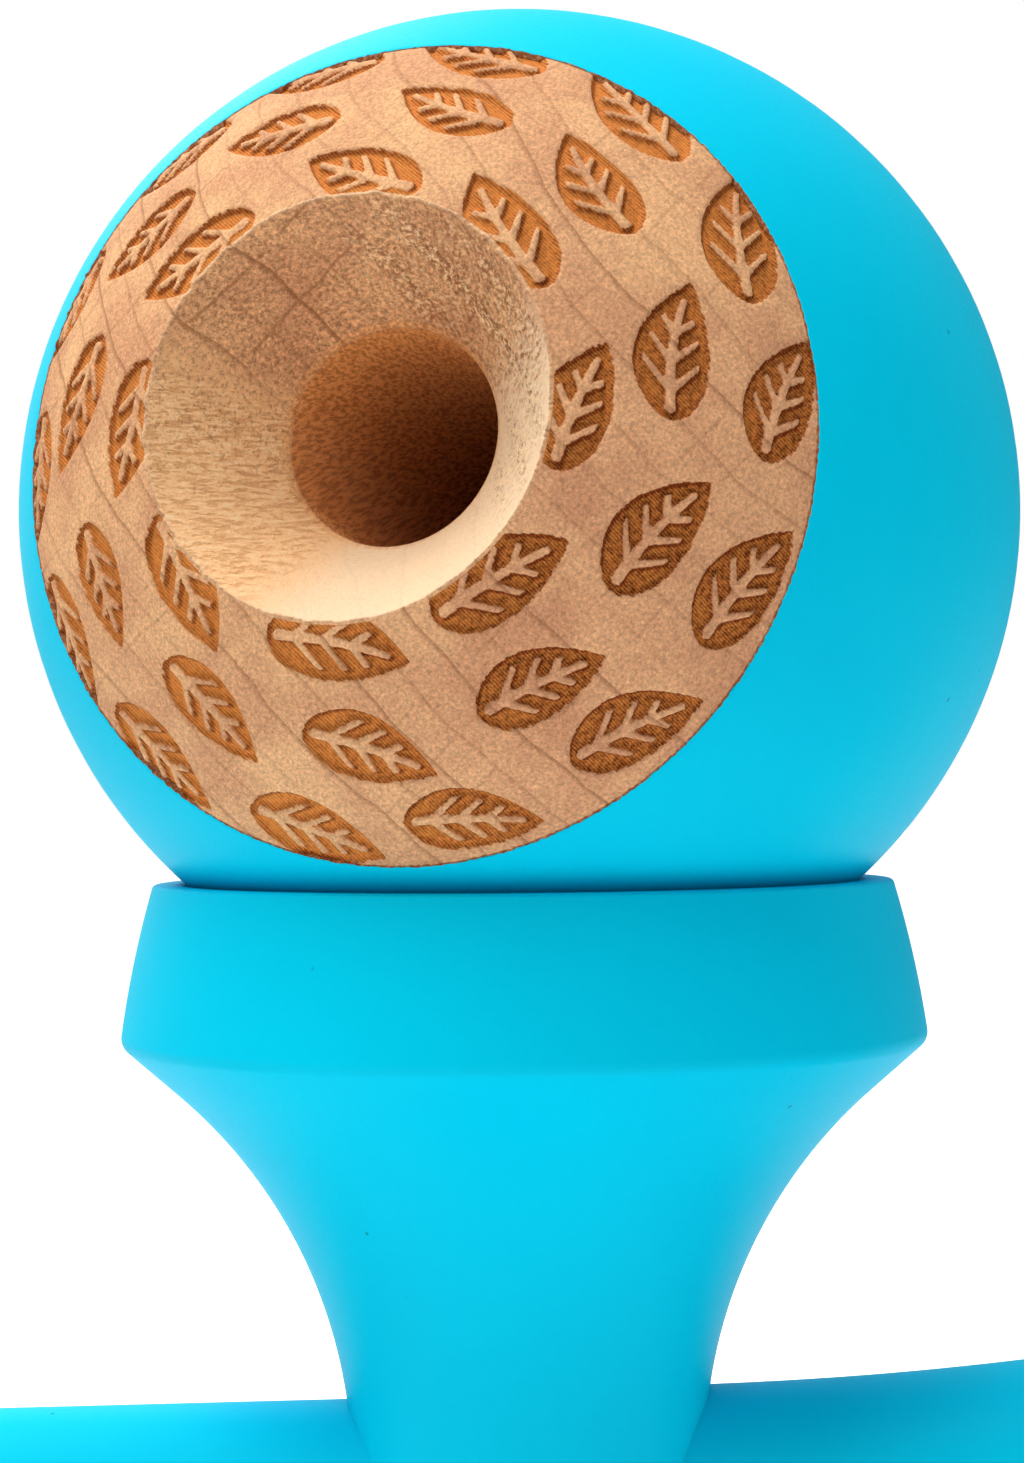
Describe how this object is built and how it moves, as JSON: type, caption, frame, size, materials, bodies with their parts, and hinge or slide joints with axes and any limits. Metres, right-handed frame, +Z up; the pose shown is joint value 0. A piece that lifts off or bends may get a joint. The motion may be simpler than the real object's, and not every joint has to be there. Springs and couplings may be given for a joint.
{
  "type": "cup and ball toy",
  "caption": "Turned wooden cup and ball toy: a spiked handle with a base cup, a crosspiece with a cup at each end, and a drilled ball to catch.",
  "frame": {"origin": "centre of the small cup's rim, which the toy stands on", "axes": "+Z up along the crosspiece to the big cup and the ball; +X along the handle, from the spike to the base cup"},
  "size_m": [0.1623, 0.06, 0.1253],
  "materials": {
    "painted_handle": "satin paint on turned wood",
    "painted_crosspiece": "satin paint on turned wood",
    "painted_ball": "satin paint, with a bare engraved face round the hole",
    "bead_wood": "bare turned wood"
  },
  "bodies": {
    "handle_and_cups": {"handle": "painted_handle", "crosspiece": "painted_crosspiece"},
    "string_bead": {"string_bead": "bead_wood"},
    "ball": {"ball": "painted_ball"}
  },
  "joints": [
    {"name": "ball_lift", "type": "slide", "parent": "handle_and_cups", "child": "string_bead", "axis": [0, 0, 1], "range_m": [0, 0.3]},
    {"name": "ball_spin", "type": "hinge", "parent": "string_bead", "child": "ball", "pos_m": [0, 0, 0.0953], "axis": [-0.3546, -0.9238, 0.1444], "continuous": true}
  ]
}
